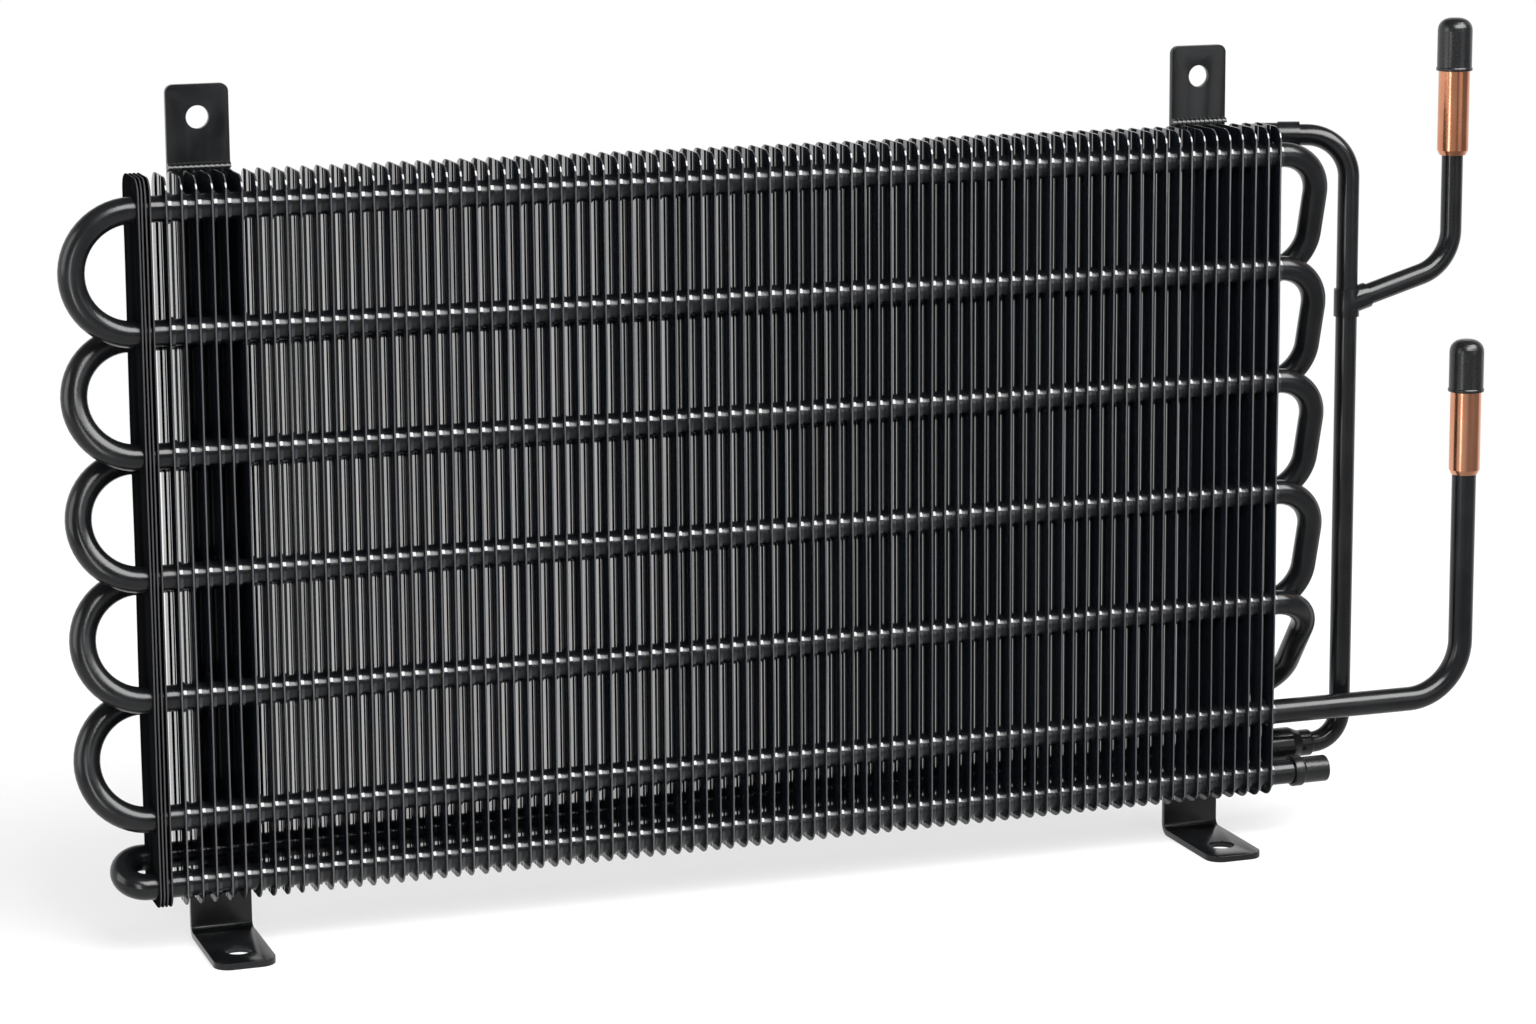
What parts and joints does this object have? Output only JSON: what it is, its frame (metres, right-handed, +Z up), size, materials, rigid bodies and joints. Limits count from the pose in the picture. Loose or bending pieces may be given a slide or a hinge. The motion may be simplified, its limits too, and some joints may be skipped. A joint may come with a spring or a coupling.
{
  "type": "finned condenser coil",
  "caption": "Black finned tube condenser coil: a serpentine tube through a pack of flat fins, two folded mounting straps, and capped copper stubs for the refrigerant lines.",
  "frame": {"origin": "midway between the two foot holes, on the plane the feet stand on", "axes": "+X along the tubes towards the pipe end, +Y from the front of the fins to the straps behind, +Z up"},
  "size_m": [0.4698, 0.0505, 0.2689],
  "materials": {
    "black_paint": "satin black paint on steel tube and strap",
    "fin_paint": "semi-gloss black paint on thin steel fins",
    "bare_copper": "bare drawn copper tube, lightly brushed",
    "cap_plastic": "satin black push-on plastic cap"
  },
  "bodies": {
    "root": {"fin_pack": "fin_paint", "hairpin_1": "black_paint", "hairpin_2": "black_paint", "hairpin_3": "black_paint", "hairpin_4": "black_paint", "hairpin_5": "black_paint", "low_hairpin": "black_paint", "return_bend_1": "black_paint", "return_bend_2": "black_paint", "return_bend_3": "black_paint", "return_bend_4": "black_paint", "feed_pipe": "black_paint", "riser_pipe": "black_paint", "riser_coupling": "black_paint", "tee_piece": "black_paint", "inlet_branch": "black_paint", "inlet_stub": "bare_copper", "inlet_cap": "cap_plastic", "outlet_pipe": "black_paint", "outlet_stub": "bare_copper", "outlet_cap": "cap_plastic", "spare_end_plug": "cap_plastic", "left_strap": "black_paint", "right_strap": "black_paint", "left_weld_bead": "black_paint", "right_weld_bead": "black_paint"}
  },
  "joints": []
}
